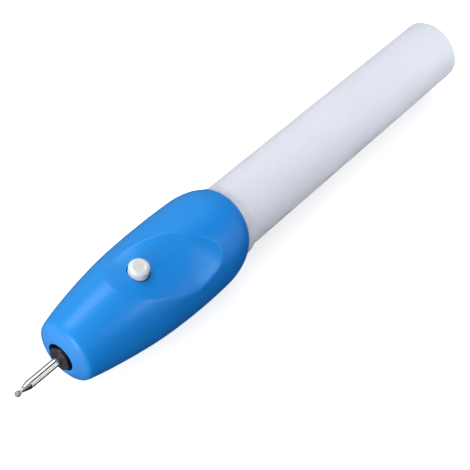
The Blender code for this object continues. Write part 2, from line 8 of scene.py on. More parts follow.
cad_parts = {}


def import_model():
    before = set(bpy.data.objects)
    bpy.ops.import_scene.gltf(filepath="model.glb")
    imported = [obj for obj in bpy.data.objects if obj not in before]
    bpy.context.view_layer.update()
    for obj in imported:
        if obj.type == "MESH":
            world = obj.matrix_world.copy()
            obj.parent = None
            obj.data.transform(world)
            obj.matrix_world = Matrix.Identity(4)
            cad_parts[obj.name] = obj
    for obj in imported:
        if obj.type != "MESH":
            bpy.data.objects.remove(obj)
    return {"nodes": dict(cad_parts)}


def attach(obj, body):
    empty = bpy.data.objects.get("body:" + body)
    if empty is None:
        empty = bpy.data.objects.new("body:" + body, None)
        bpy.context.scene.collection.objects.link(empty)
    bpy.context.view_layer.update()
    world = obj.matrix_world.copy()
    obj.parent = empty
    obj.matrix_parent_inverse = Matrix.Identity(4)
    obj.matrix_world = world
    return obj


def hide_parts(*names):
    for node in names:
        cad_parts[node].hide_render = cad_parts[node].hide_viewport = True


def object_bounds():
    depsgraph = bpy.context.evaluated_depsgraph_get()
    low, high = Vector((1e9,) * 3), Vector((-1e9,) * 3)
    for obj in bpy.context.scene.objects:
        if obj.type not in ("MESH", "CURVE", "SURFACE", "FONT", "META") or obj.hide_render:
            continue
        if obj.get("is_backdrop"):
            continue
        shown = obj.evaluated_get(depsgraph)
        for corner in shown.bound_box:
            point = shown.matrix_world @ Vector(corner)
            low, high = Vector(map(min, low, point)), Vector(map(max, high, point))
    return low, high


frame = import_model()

CAD_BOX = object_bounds()

# ------------------------------------------------------------------ dimensions
# Millimetres.  Stations run along +X from the tip of the bit, as in the CAD.
LENGTH = 165.6
AXIS_Z = 13.16

GRIP_OUTER = [(14.86, 4.15), (14.80, 4.35), (14.87, 5.0), (15.22, 6.0), (15.66, 7.0),
              (15.98, 7.65), (16.2, 8.02), (16.5, 8.33), (16.9, 8.55), (17.5, 8.76),
              (18.6, 9.04), (20.5, 9.5), (23.0, 10.05),
              (26.5, 10.71), (30.0, 11.33), (33.5, 11.85), (37.0, 12.31),
              (41.0, 12.69), (45.0, 12.93), (49.0, 13.08), (53.0, 13.148),
              (57.0, 13.148), (60.5, 13.06), (63.0, 12.97), (65.0, 12.83),
              (66.6, 12.56), (68.1, 12.18), (69.4, 11.70), (70.4, 11.20),
              (71.0, 10.80), (71.25, 10.60)]
GRIP_INNER = [(71.3, 10.42), (62.6, 10.42), (61.8, 10.12), (31.0, 10.12), (29.2, 9.35),
              (22.0, 7.5), (17.6, 5.6), (16.6, 3.92), (15.06, 3.92)]
SLANT, SLANT_FROM, SLANT_TO = 2.6, 52.0, 68.0
# the barrel's middle rises above the axis towards the nose, its hole less so
RISE, RISE_HOLE, RISE_FROM, RISE_TO = 0.9, 0.5, 57.0, 17.0

SCOOP_X, SCOOP_ROUND, SCOOP_SKEW = 46.9, 16.9, 24.6
SCOOP_LONG, SCOOP_WIDE = 15.5, 8.1

BUTTON_X, BUTTON_R, BUTTON_TOP = 40.4, 2.72, 13.8
BUTTON_HOLE_R = 3.05
FLANGE_R, FLANGE_LOW, FLANGE_HIGH = 3.7, 9.5, 10.05

CHUCK_FRONT, CHUCK_REAR, CHUCK_R = 14.2, 28.3, 3.2
SHANK_R, SHANK_END, NECK_R, HEAD_R = 1.175, 22.5, 0.55, 0.85

MM = 0.001


def world(s, y=0.0, z=0.0):
    return Vector(((s - LENGTH / 2) * MM, y * MM, (AXIS_Z + z) * MM))


def interp(table, x):
    xs = [p[0] for p in table]
    ys = [p[1] for p in table]
    return np.interp(x, xs, ys)


def ease(t):
    t = np.clip(t, 0.0, 1.0)
    return t * t * (3 - 2 * t)


# ------------------------------------------------------------------ mesh tools
def spline(points, step):
    """Centripetal Catmull-Rom curve through points, sampled about every step."""
    p = [np.array(q, float) for q in points]
    p = [2 * p[0] - p[1]] + p + [2 * p[-1] - p[-2]]
    out = []
    for i in range(1, len(p) - 2):
        p0, p1, p2, p3 = p[i - 1], p[i], p[i + 1], p[i + 2]
        t0 = 0.0
        t1 = t0 + max(np.linalg.norm(p1 - p0), 1e-9) ** 0.5
        t2 = t1 + max(np.linalg.norm(p2 - p1), 1e-9) ** 0.5
        t3 = t2 + max(np.linalg.norm(p3 - p2), 1e-9) ** 0.5
        n = max(1, int(round(np.linalg.norm(p2 - p1) / step)))
        for k in range(n):
            t = t1 + (t2 - t1) * k / n
            a1 = (t1 - t) / (t1 - t0) * p0 + (t - t0) / (t1 - t0) * p1
            a2 = (t2 - t) / (t2 - t1) * p1 + (t - t1) / (t2 - t1) * p2
            a3 = (t3 - t) / (t3 - t2) * p2 + (t - t2) / (t3 - t2) * p3
            b1 = (t2 - t) / (t2 - t0) * a1 + (t - t0) / (t2 - t0) * a2
            b2 = (t3 - t) / (t3 - t1) * a2 + (t - t1) / (t3 - t1) * a3
            out.append((t2 - t) / (t2 - t1) * b1 + (t - t1) / (t2 - t1) * b2)
    out.append(p[-2])
    return [tuple(q) for q in out]


def lines(points, step):
    """Straight runs between points, cut into lengths of about step."""
    out = []
    for a, b in zip(points, points[1:]):
        a, b = np.array(a, float), np.array(b, float)
        n = max(1, int(round(np.linalg.norm(b - a) / step)))
        for k in range(n):
            out.append(tuple(a + (b - a) * k / n))
    out.append(tuple(points[-1]))
    return out


def fillet(a, b, c, r, n=5):
    """Round the corner b between a and c by an arc that starts r from it."""
    a, b, c = (np.array(v, float) for v in (a, b, c))
    u = (a - b) / np.linalg.norm(a - b)
    v = (c - b) / np.linalg.norm(c - b)
    p, q = b + u * r, b + v * r
    out = []
    for i in range(n + 1):
        t = i / n
        out.append(tuple((1 - t) ** 2 * p + 2 * t * (1 - t) * b + t * t * q))
    return out


def softened(points, radii, closed=False, n=5):
    """Polyline with the corners named in radii {index: r} rounded."""
    out = []
    for i, p in enumerate(points):
        if i in radii:
            out += fillet(points[i - 1], p, points[(i + 1) % len(points)], radii[i], n)
        else:
            out.append(p)
    return out


def mesh_object(name, verts, faces, smooth_angle=35.0):
    me = bpy.data.meshes.new(name)
    me.from_pydata([tuple(v) for v in verts], [], faces)
    me.validate()
    me.update()
    ob = bpy.data.objects.new(name, me)
    bpy.context.scene.collection.objects.link(ob)
    me.polygons.foreach_set("use_smooth", [True] * len(me.polygons))
    if smooth_angle is not None:
        me.set_sharp_from_angle(angle=math.radians(smooth_angle))
    return ob


def revolve(name, section, seg, closed, shape=None, smooth_angle=35.0, up=False, at=0.0):
    """Sweep a section of (station, radius) points round the pen's axis, or of
    (height, radius) points round an upright axis at station `at`.  A section
    whose ends lie on the axis gets a pole there.  shape(s, r, a) may give
    back moved (s, r) arrays."""
    sec = [tuple(map(float, p)) for p in section]
    start_pole = not closed and sec[0][1] == 0.0
    end_pole = not closed and sec[-1][1] == 0.0
    body = sec[1 if start_pole else 0: len(sec) - 1 if end_pole else len(sec)]
    S = np.array([p[0] for p in body])[:, None]
    R = np.array([p[1] for p in body])[:, None]
    A = np.linspace(0, 2 * math.pi, seg, endpoint=False)[None, :]
    S = np.broadcast_to(S, (len(body), seg)).copy()
    R = np.broadcast_to(R, (len(body), seg)).copy()
    A = np.broadcast_to(A, (len(body), seg))
    if shape is not None:
        S, R = shape(S, R, A)
    if up:
        X = (at - LENGTH / 2) * MM + R * np.cos(A) * MM
        Y = R * np.sin(A) * MM
        Z = (AXIS_Z + S) * MM
    else:
        X = (S - LENGTH / 2) * MM
        Y = R * np.sin(A) * MM
        Z = (AXIS_Z + R * np.cos(A)) * MM
    verts = np.stack([X, Y, Z], axis=2).reshape(-1, 3)
    n = len(body)
    faces = []
    for i in range(n if closed else n - 1):
        i2 = (i + 1) % n
        for j in range(seg):
            k = (j + 1) % seg
            faces.append((i * seg + j, i2 * seg + j, i2 * seg + k, i * seg + k))
    extra = []
    for pole, row, flip in ((start_pole, 0, True), (end_pole, n - 1, False)):
        if pole:
            s = sec[0][0] if row == 0 else sec[-1][0]
            c = world(at, 0, s) if up else world(s)
            idx = len(verts) + len(extra)
            extra.append(tuple(c))
            for j in range(seg):
                k = (j + 1) % seg
                f = (idx, row * seg + j, row * seg + k)
                faces.append(f if flip else f[::-1])
    verts = [tuple(v) for v in verts] + extra
    ob = mesh_object(name, verts, faces, None)
    bm = bmesh.new()
    bm.from_mesh(ob.data)
    bmesh.ops.recalc_face_normals(bm, faces=bm.faces)
    bm.to_mesh(ob.data)
    bm.free()
    ob.data.polygons.foreach_set("use_smooth", [True] * len(ob.data.polygons))
    if smooth_angle is not None:
        ob.data.set_sharp_from_angle(angle=math.radians(smooth_angle))
    return ob


def cut(ob, cutter, keep_sharp=30.0):
    m = ob.modifiers.new("cut", 'BOOLEAN')
    m.operation = 'DIFFERENCE'
    m.object = cutter
    m.solver = 'EXACT'
    dg = bpy.context.evaluated_depsgraph_get()
    dg.update()
    me = bpy.data.meshes.new_from_object(ob.evaluated_get(dg))
    ob.modifiers.remove(m)
    old = ob.data
    ob.data = me
    bpy.data.meshes.remove(old)
    bpy.data.objects.remove(cutter, do_unlink=True)
    me.polygons.foreach_set("use_smooth", [True] * len(me.polygons))
    me.set_sharp_from_angle(angle=math.radians(keep_sharp))
    return ob


# ------------------------------------------------------------------ grip
turn = math.radians(SCOOP_ROUND)
OUT = np.array([0.0, -math.sin(turn), math.cos(turn)])
ACROSS = np.array([0.0, math.cos(turn), math.sin(turn)])
sk = math.radians(-SCOOP_SKEW)
SAX = np.array([1.0, 0, 0]) * math.cos(sk) + ACROSS * math.sin(sk)
SAY = np.cross(OUT, SAX)
SCOOP_C = np.array([SCOOP_X, 0.0, 0.0]) + OUT * 12.0


# how far the thumb dish is sunk along its own long axis (-1 front end, +1 rear end)
DISH = [(-1.0, 1.35), (-0.75, 1.52), (-0.5, 1.68), (0.0, 1.95), (0.3, 2.12), (0.55, 2.5), (0.8, 2.95), (1.0, 3.3)]


def grip_shape(S, R, A):
    lean = SLANT * ease((S - SLANT_FROM) / (SLANT_TO - SLANT_FROM))
    S2 = S + lean * np.cos(A)
    outer = R > interp(GRIP_OUTER, S) - 0.6
    up = RISE * ease((RISE_FROM - S) / (RISE_FROM - RISE_TO))
    up = np.where(S < 16.5, RISE_HOLE + (up - RISE_HOLE) * ease((R - 4.0) / 4.0), up)
    up = np.where(outer, up, RISE_HOLE * (1.0 - ease((S - 17.0) / 8.0)))
    R = up * np.cos(A) + np.sqrt(R * R - (up * np.sin(A)) ** 2)
    Y, Z = R * np.sin(A), R * np.cos(A)
    P = np.stack([S2 + 0.58 * up, Y + 0.32 * up, Z - 0.9 * up], axis=2) - SCOOP_C
    a = P @ SAX / SCOOP_LONG
    b = P @ SAY / SCOOP_WIDE
    # the oval narrows towards its rear end, more so on the +Y side
    narrow = np.where(b > 0, 0.36 * ease((a - 0.2) / 0.5), 0.3 * ease((a - 0.45) / 0.35))
    rho2 = a * a + b * b * (1.0 + narrow)
    front = (Y * OUT[1] + Z * OUT[2]) > 2.0
    # steeper just below the crisp edge
    steep = 1.0 + 0.9 * ease((b + 0.1) / 0.7) * (1.0 - 0.75 * ease((a + 0.1) / 0.8))
    u = interp(DISH, a) * (1.0 - np.maximum(rho2, 1e-9) ** steep)
    # the edge is crisp along the +Y side and more rounded towards -Y
    e = 0.05 + 0.06 * ease((-b - 0.2) / 0.9)
    depth = 0.5 * (u + np.sqrt(u * u + e * e)) * ease((1.9 - rho2) / 0.7)
    R2 = np.where(outer & front, R - depth, R)
    return S2, R2


def stepped(points, step):
    """Thin out a fine curve to points about step(station) apart."""
    out = [points[0]]
    run = 0.0
    for p, q in zip(points, points[1:]):
        run += math.hypot(q[0] - p[0], q[1] - p[1])
        if run >= step(q[0]):
            out.append(q)
            run = 0.0
    if out[-1] != points[-1]:
        out[-1 if run < 0.5 * step(points[-1][0]) and len(out) > 1 else len(out):] = [points[-1]]
    return out


FINE = 0.2
outer = stepped(spline(GRIP_OUTER, 0.05),
                lambda x: 0.25 if x < 19 or x > 66 else (0.5 if x < 27 else FINE))
inner = softened(GRIP_INNER, {1: 0.3, 3: 0.6}, n=3)
inner = lines(inner, 3.0)
lip = fillet(GRIP_INNER[-2], (14.80, 3.92), (14.80, 4.35), 0.2, 5)
outer = [q for q in outer if not (q[0] < 15.0 and q[1] < 4.33)]
section = outer + inner[:-1] + [q for q in lip if q[1] < 4.3]
clean = [section[0]]
for q in section[1:]:
    if math.hypot(q[0] - clean[-1][0], q[1] - clean[-1][1]) > 0.03:
        clean.append(q)
grip = revolve("grip_body", clean, 400, True, shape=grip_shape, smooth_angle=40.0)
hole = revolve("hole_cutter", [(9.0, 0.0), (9.0, BUTTON_HOLE_R), (14.5, BUTTON_HOLE_R), (14.5, 0.0)],
               96, False, up=True, at=BUTTON_X)
pocket = revolve("pocket_cutter", [(8.0, 0.0), (8.0, 4.1), (10.2, 4.1), (10.2, 0.0)],
                 64, False, up=True, at=BUTTON_X)
cut(grip, pocket, 40.0)
cut(grip, hole, 40.0)
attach(grip, "grip")
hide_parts("grip_shell")

# ------------------------------------------------------------------ battery tube
TAIL = LENGTH
FLARE = [(71.6, 10.2), (73.4, 10.16), (74.3, 10.05), (75.0, 9.86), (75.7, 9.62), (76.3, 9.45), (77.0, 9.36), (77.8, 9.34)]
R0, R1, EDGE = 9.34, 8.92, 1.2
outside = [(64.8, 10.2)] + spline(FLARE, 0.2)
for i in range(1, 24):
    outside.append((77.8 + (TAIL - EDGE - 77.8) * i / 24, R0 + (R1 - R0) * i / 24))
for i in range(0, 17):
    a = math.pi / 2 * i / 16
    outside.append((TAIL - EDGE + EDGE * math.sin(a), R1 - EDGE + EDGE * math.cos(a)))
# the end wall is very slightly hollow towards the middle
outside += [(TAIL - 0.01, 6.0), (TAIL - 0.03, 4.5), (TAIL - 0.045, 2.5), (TAIL - 0.05, 0.0)]
inside = [(TAIL - 2.1, 0.0), (TAIL - 2.1, 7.2), (TAIL - 2.4, 7.5)]
inside += [(TAIL - 2.4 - (TAIL - 2.4 - 75.6) * i / 12, 7.5) for i in range(1, 13)]
inside += [(75.4, 7.7), (75.4, 8.7), (75.2, 8.8), (64.9, 8.8), (64.4, 9.1), (64.4, 9.9)]
tube = revolve("tube_skin", inside + outside, 256, False, smooth_angle=38.0)


def ridge(name, s0, s1, r_root, r_crest, w_root, w_crest, lead=2.5, per_turn=64):
    n = int(round((s1 - s0) / lead * per_turn))
    verts, faces = [], []
    for i in range(n + 1):
        s = s0 + (s1 - s0) * i / n
        a = 2 * math.pi * s / lead
        for ds, r in ((-w_root / 2, r_root), (-w_crest / 2, r_crest), (w_crest / 2, r_crest), (w_root / 2, r_root)):
            verts.append(world(s + ds, r * math.cos(a), r * math.sin(a)))
    for i in range(n):
        for k in range(4):
            l = (k + 1) % 4
            faces.append((i * 4 + k, (i + 1) * 4 + k, (i + 1) * 4 + l, i * 4 + l))
    faces.append((0, 1, 2, 3))
    faces.append((n * 4 + 3, n * 4 + 2, n * 4 + 1, n * 4))
    ob = mesh_object(name, verts, faces, None)
    bm = bmesh.new()
    bm.from_mesh(ob.data)
    bmesh.ops.recalc_face_normals(bm, faces=bm.faces)
    bm.to_mesh(ob.data)
    bm.free()
    return ob


cut(tube, ridge("groove_cutter", 63.4, 74.6, 8.5, 9.38, 1.98, 1.16), 38.0)
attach(tube, "tube")
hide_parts("battery_tube")

# ------------------------------------------------------------------ push button
T = BUTTON_TOP
cap_sec = [(FLANGE_LOW, 0.0), (FLANGE_LOW, FLANGE_R - 0.12), (FLANGE_LOW + 0.12, FLANGE_R),
           (FLANGE_HIGH - 0.12, FLANGE_R), (FLANGE_HIGH, FLANGE_R - 0.12), (FLANGE_HIGH, BUTTON_R + 0.1),
           (FLANGE_HIGH + 0.1, BUTTON_R)]
cap_sec += [(T - 0.85, BUTTON_R)]
cap_sec += spline([(T - 0.85, BUTTON_R), (T - 0.6, 2.68), (T - 0.38, 2.54), (T - 0.2, 2.3), (T - 0.09, 2.02),
                   (T - 0.03, 1.82)], 0.06)[1:]
cap_sec += [(T - 0.005, 1.7), (T - 0.03, 1.62), (T - 0.05, 1.5), (T - 0.055, 0.9), (T - 0.055, 0.0)]
button = revolve("button_body", cap_sec, 128, False, up=True, at=BUTTON_X, smooth_angle=50.0)
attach(button, "button")
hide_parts("button_cap")

# ------------------------------------------------------------------ chuck
chuck_sec = [(CHUCK_FRONT + 0.1, 1.2), (CHUCK_FRONT + 0.03, 1.22), (CHUCK_FRONT, 1.28), (CHUCK_FRONT, 1.9),
             (CHUCK_FRONT + 0.05, 2.0), (CHUCK_FRONT + 0.07, 2.15), (CHUCK_FRONT + 0.05, 2.78),
             (CHUCK_FRONT + 0.08, 2.95), (CHUCK_FRONT + 0.16, 3.1), (CHUCK_FRONT + 0.3, CHUCK_R),
             (17.2, CHUCK_R), (17.9, 4.2), (CHUCK_REAR - 0.4, 4.2), (CHUCK_REAR, 3.8),
             (CHUCK_REAR, 1.03), (23.4, 1.03), (23.2, 1.2)]
chuck = revolve("chuck_body", chuck_sec, 144, True, smooth_angle=60.0)
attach(chuck, "spindle")
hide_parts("chuck")

# ------------------------------------------------------------------ bit
shank_sec = [(1.42, 0.0), (1.42, NECK_R)] + spline([(1.42, NECK_R), (1.8, 0.53), (2.15, 0.56), (2.5, 0.66), (2.9, 0.8),
                                                      (3.5, 0.97), (4.1, 1.11), (4.45, 1.165), (4.7, SHANK_R)], 0.12)[1:]
shank_sec += [(7.0, SHANK_R), (10.0, SHANK_R), (13.0, SHANK_R), (16.0, SHANK_R), (22.2, SHANK_R),
              (22.45, SHANK_R - 0.2), (22.5, SHANK_R - 0.3), (22.5, 0.0)]
shank = revolve("bit_shank_fine", shank_sec, 96, False, smooth_angle=40.0)
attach(shank, "bit")
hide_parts("bit_shank")

rng = np.random.default_rng(7)
bm = bmesh.new()
bmesh.ops.create_icosphere(bm, subdivisions=5, radius=1.0)
seeds = rng.normal(size=(420, 3))
seeds /= np.linalg.norm(seeds, axis=1)[:, None]
size = rng.uniform(0.35, 1.0, size=420)
co = np.array([v.co[:] for v in bm.verts])
d = 1.0 - co @ seeds.T                      # grows with the distance to each grain
lump = np.max(size[None, :] * 0.055 * np.exp(-(d / 0.0042) ** 1.4), axis=1)
r = (HEAD_R - 0.05) + lump
cen = world(HEAD_R)
for v, k in zip(bm.verts, r):
    q = v.co * float(k)
    # the rear of the ball is cut square where the neck starts
    x = min(q.x, 0.50)
    v.co = cen + Vector((x, q.y, q.z)) * MM
bmesh.ops.recalc_face_normals(bm, faces=bm.faces)
me = bpy.data.meshes.new("bit_head_fine")
bm.to_mesh(me)
bm.free()
head = bpy.data.objects.new("bit_head_fine", me)
bpy.context.scene.collection.objects.link(head)
me.polygons.foreach_set("use_smooth", [True] * len(me.polygons))
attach(head, "bit")
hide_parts("bit_head")


# ------------------------------------------------------------------ materials
class Nodes:
    """Short hand for a material's node tree; coordinates are object metres."""

    def __init__(self, name):
        self.m = bpy.data.materials.new(name)
        self.m.use_nodes = True
        self.t = self.m.node_tree
        self.b = self.t.nodes["Principled BSDF"]
        self.co = self.t.nodes.new("ShaderNodeTexCoord").outputs["Object"]

    def new(self, kind, **inputs):
        n = self.t.nodes.new(kind)
        for k, v in inputs.items():
            self.put(n.inputs[k.replace("_", " ")], v)
        return n

    def put(self, socket, v):
        if isinstance(v, bpy.types.NodeSocket):
            self.t.links.new(v, socket)
        else:
            socket.default_value = v

    def scaled(self, x, y, z):
        n = self.new("ShaderNodeMapping")
        self.put(n.inputs["Vector"], self.co)
        n.inputs["Scale"].default_value = (x, y, z)
        return n.outputs["Vector"]

    def noise(self, scale, detail=3.0, rough=0.55, vec=None):
        n = self.new("ShaderNodeTexNoise", Scale=scale, Detail=detail, Roughness=rough)
        self.put(n.inputs["Vector"], vec if vec is not None else self.co)
        return n.outputs["Fac"]

    def voronoi(self, scale, feature='F1', vec=None):
        n = self.new("ShaderNodeTexVoronoi", Scale=scale)
        n.feature = feature
        self.put(n.inputs["Vector"], vec if vec is not None else self.co)
        return n.outputs["Distance"]

    def ramp(self, fac, a, b, lo=0.0, hi=1.0):
        n = self.new("ShaderNodeMapRange")
        self.put(n.inputs["Value"], fac)
        n.inputs["From Min"].default_value = a
        n.inputs["From Max"].default_value = b
        n.inputs["To Min"].default_value = lo
        n.inputs["To Max"].default_value = hi
        return n.outputs["Result"]

    def mix(self, fac, a, b):
        n = self.t.nodes.new("ShaderNodeMix")
        n.data_type = 'RGBA'
        self.put(n.inputs[0], fac)
        for s, v in ((n.inputs[6], a), (n.inputs[7], b)):
            if isinstance(v, tuple) and len(v) == 3:
                v = (*v, 1.0)
            self.put(s, v)
        return n.outputs[2]

    def math(self, op, a, b=0.0):
        n = self.t.nodes.new("ShaderNodeMath")
        n.operation = op
        self.put(n.inputs[0], a)
        self.put(n.inputs[1], b)
        return n.outputs[0]

    def bump(self, height, distance, strength=1.0, normal=None):
        n = self.new("ShaderNodeBump", Strength=strength, Distance=distance)
        self.put(n.inputs["Height"], height)
        if normal is not None:
            self.put(n.inputs["Normal"], normal)
        return n.outputs["Normal"]

    def edge(self, radius=0.00035, lo=0.9985, hi=0.975):
        """1 along crisp edges: where the rounded normal leaves the surface's own."""
        bev = self.new("ShaderNodeBevel", Radius=radius)
        bev.samples = 6
        own = self.new("ShaderNodeNewGeometry")
        d = self.t.nodes.new("ShaderNodeVectorMath")
        d.operation = 'DOT_PRODUCT'
        self.put(d.inputs[0], bev.outputs["Normal"])
        self.put(d.inputs[1], own.outputs["Normal"])
        return self.ramp(d.outputs["Value"], lo, hi)


def moulded(name, colour, other, rough=0.34, grain=0.000006, spec=0.5, edge_colour=None, edge_amount=0.3, wear=0.05):
    """Injection-moulded plastic: faint colour drift, orange peel, handling scuffs; crisp edges lighter, partly edge
    wear and partly a painted highlight.
    """
    n = Nodes(name)
    drift = n.ramp(n.noise(38.0, 2.0), 0.3, 0.7)
    speck = n.ramp(n.noise(900.0, 2.0), 0.35, 0.65)
    c = n.mix(n.math('MULTIPLY', drift, 1.0), colour, other)
    c = n.mix(n.math('MULTIPLY', speck, 0.05), c, tuple(min(1.0, v * 1.25 + 0.01) for v in colour))
    # crisp edges made lighter: partly edge wear, partly a painted highlight where they would catch the light
    if edge_colour is not None:
        c = n.mix(n.math('MULTIPLY', n.edge(), edge_amount), c, edge_colour)
    n.put(n.b.inputs["Base Color"], c)
    smudge = n.ramp(n.noise(75.0, 4.0, 0.6), 0.35, 0.7, -0.03, 0.05)
    # hair scratches: thin lines along two directions
    s1 = n.ramp(n.noise(1.0, 2.0, 0.5, n.scaled(90.0, 2600.0, 2600.0)), 0.68, 0.74)
    s2 = n.ramp(n.noise(1.0, 2.0, 0.5, n.scaled(1500.0, 260.0, 260.0)), 0.70, 0.75)
    scr = n.math('MULTIPLY', n.math('MAXIMUM', s1, s2), wear)
    r = n.math('ADD', n.math('ADD', smudge, rough), scr)
    n.put(n.b.inputs["Roughness"], r)
    n.b.inputs["Specular IOR Level"].default_value = spec
    peel = n.noise(1500.0, 2.0, 0.5)
    fine = n.noise(5200.0, 2.0, 0.6)
    nn = n.bump(peel, grain * 2.2, 0.5)
    nn = n.bump(fine, grain, 0.5, nn)
    n.put(n.b.inputs["Normal"], nn)
    return n


blue = moulded("blue_moulded", (0.010, 0.226, 0.640), (0.008, 0.214, 0.612), rough=0.33, grain=0.000005,
               spec=0.5, edge_colour=(0.07, 0.40, 0.95), edge_amount=0.6, wear=0.06)
blue.b.inputs["IOR"].default_value = 1.38
# painted highlight: the lip round the hole in the nose is made lighter where its rounded edge would catch the light
lsep = blue.new("ShaderNodeSeparateXYZ")
blue.put(lsep.inputs[0], blue.co)
lz = blue.math('SUBTRACT', lsep.outputs[2], (AXIS_Z + RISE_HOLE) * MM)
lrad = blue.math('SQRT', blue.math('ADD', blue.math('MULTIPLY', lsep.outputs[1], lsep.outputs[1]), blue.math('MULTIPLY', lz, lz)))
lip_highlight = blue.math('MULTIPLY', blue.ramp(lrad, 0.00396, 0.00404), blue.ramp(lrad, 0.00436, 0.00422))
lip_highlight = blue.math('MULTIPLY', lip_highlight, blue.ramp(lsep.outputs[0], world(15.4).x, world(15.0).x, 0.0, 0.55))
blue.put(blue.b.inputs["Base Color"], blue.mix(lip_highlight, blue.b.inputs["Base Color"].links[0].from_socket, (0.16, 0.46, 0.95)))
# painted light: the nose's face is made a little paler than the barrel, as if lit more from the tip
face_light = blue.ramp(lsep.outputs[0], world(16.7).x, world(15.7).x, 0.0, 0.8)
blue.put(blue.b.inputs["Base Color"], blue.mix(face_light, blue.b.inputs["Base Color"].links[0].from_socket, (0.046, 0.238, 0.640)))
# painted shade: the hole's wall behind it is made dark navy, as if in its own shadow
wall_shade = blue.math('MULTIPLY', blue.ramp(lrad, 0.00402, 0.00396), blue.ramp(lsep.outputs[0], world(14.95).x, world(15.15).x, 0.0, 0.92))
wall_shade = blue.math('MULTIPLY', wall_shade, blue.ramp(lsep.outputs[0], world(18.0).x, world(17.5).x))
blue.put(blue.b.inputs["Base Color"], blue.mix(wall_shade, blue.b.inputs["Base Color"].links[0].from_socket, (0.004, 0.030, 0.125)))
blue.b.inputs["Specular Tint"].default_value = (0.60, 0.80, 1.0, 1.0)

white = moulded("white_moulded", (0.560, 0.580, 0.645), (0.540, 0.560, 0.625), rough=0.42, grain=0.000005,
                edge_colour=(0.85, 0.86, 0.92), edge_amount=0.2, wear=0.05)
white.b.subsurface_method = 'BURLEY'
white.b.inputs["Subsurface Weight"].default_value = 1.0
white.b.inputs["Subsurface Scale"].default_value = 0.008
white.b.inputs["Subsurface Radius"].default_value = (1.0, 1.0, 1.0)

capm = moulded("button_moulded", (0.62, 0.66, 0.72), (0.62, 0.645, 0.69), rough=0.26, grain=0.000004,
               edge_colour=(0.74, 0.80, 0.88), edge_amount=0.4, wear=0.05)
# the flat on top is a touch creamier than the sides
sep = capm.new("ShaderNodeSeparateXYZ")
capm.put(sep.inputs[0], capm.co)
ex = capm.math('SUBTRACT', sep.outputs[0], world(BUTTON_X).x)
rad = capm.math('SQRT', capm.math('ADD', capm.math('MULTIPLY', ex, ex), capm.math('MULTIPLY', sep.outputs[1], sep.outputs[1])))
flat = capm.ramp(capm.math('ADD', rad, capm.math('MULTIPLY', capm.noise(900.0, 3.0), 0.0005)), 0.0015, 0.0022, 0.8, 0.0)
capm.put(capm.b.inputs["Base Color"], capm.mix(flat, capm.b.inputs["Base Color"].links[0].from_socket, (0.60, 0.60, 0.555)))

# painted shade: below the dish's floor the sides are darkened to a deep navy, as in the shadow down in the hole
zz = capm.math('ADD', sep.outputs[2], capm.math('MULTIPLY', ex, 0.05))
gap_shade = capm.ramp(zz, world(0, 0, 11.15).z, world(0, 0, 11.45).z, 0.93, 0.0)
capm.put(capm.b.inputs["Base Color"], capm.mix(gap_shade, capm.b.inputs["Base Color"].links[0].from_socket, (0.006, 0.022, 0.070)))
capm.b.subsurface_method = 'BURLEY'
capm.b.inputs["Subsurface Weight"].default_value = 0.5
capm.b.inputs["Subsurface Scale"].default_value = 0.0012
capm.b.inputs["Subsurface Radius"].default_value = (1.0, 1.0, 1.0)

carrier_m = moulded("carrier_moulded", (0.60, 0.61, 0.62), (0.55, 0.56, 0.57), rough=0.5, grain=0.000008)

black = Nodes("black_filled")
mot = black.ramp(black.noise(1400.0, 4.0, 0.7), 0.35, 0.7)
dust = black.ramp(black.noise(420.0, 5.0, 0.7), 0.52, 0.78)
cb = black.mix(mot, (0.012, 0.011, 0.014), (0.038, 0.033, 0.040))
cb = black.mix(black.math('MULTIPLY', dust, 0.35), cb, (0.10, 0.095, 0.10))
black.put(black.b.inputs["Base Color"], cb)
# the chuck: mottled face, its side a painted shade of dark navy
bush = Nodes("chuck_moulded")
bm1 = bush.ramp(bush.noise(1500.0, 4.0, 0.7), 0.35, 0.68)
bm2 = bush.ramp(bush.noise(520.0, 5.0, 0.7), 0.50, 0.74)
bc = bush.mix(bm1, (0.012, 0.010, 0.014), (0.050, 0.042, 0.052))
bc = bush.mix(bush.math('MULTIPLY', bm2, 0.5), bc, (0.10, 0.085, 0.095))
bsep = bush.new("ShaderNodeSeparateXYZ")
bush.put(bsep.inputs[0], bush.co)
# painted shade: the side is made dark navy, as if shadowed inside the nose's hole
side = bush.ramp(bsep.outputs[0], world(CHUCK_FRONT + 0.12).x, world(CHUCK_FRONT + 0.34).x)
bush.put(bush.b.inputs["Base Color"], bush.mix(side, bc, (0.0015, 0.0030, 0.0100)))
bush.put(bush.b.inputs["Roughness"], bush.mix(side, bush.ramp(bush.noise(600.0, 3.0), 0.3, 0.7, 0.42, 0.62), (0.30, 0.30, 0.30)))
bush.b.inputs["Specular IOR Level"].default_value = 0.35
bush.put(bush.b.inputs["Normal"], bush.bump(bush.noise(2600.0, 4.0, 0.7), 0.00003, 0.5))
black.put(black.b.inputs["Roughness"], black.ramp(black.noise(600.0, 3.0), 0.3, 0.7, 0.42, 0.68))
black.put(black.b.inputs["Normal"], black.bump(black.noise(2600.0, 4.0, 0.7), 0.00003, 0.5))

steel = Nodes("ground_steel")
rings = steel.noise(1.0, 4.0, 0.65, steel.scaled(9000.0, 250.0, 250.0))
cs = steel.mix(steel.ramp(steel.noise(700.0, 3.0), 0.35, 0.7), (0.46, 0.45, 0.437), (0.55, 0.545, 0.53))
steel.put(steel.b.inputs["Base Color"], cs)
steel.b.inputs["Metallic"].default_value = 1.0
steel.put(steel.b.inputs["Roughness"], steel.ramp(rings, 0.3, 0.7, 0.07, 0.14))
steel.put(steel.b.inputs["Normal"], steel.bump(rings, 0.000004, 0.35))

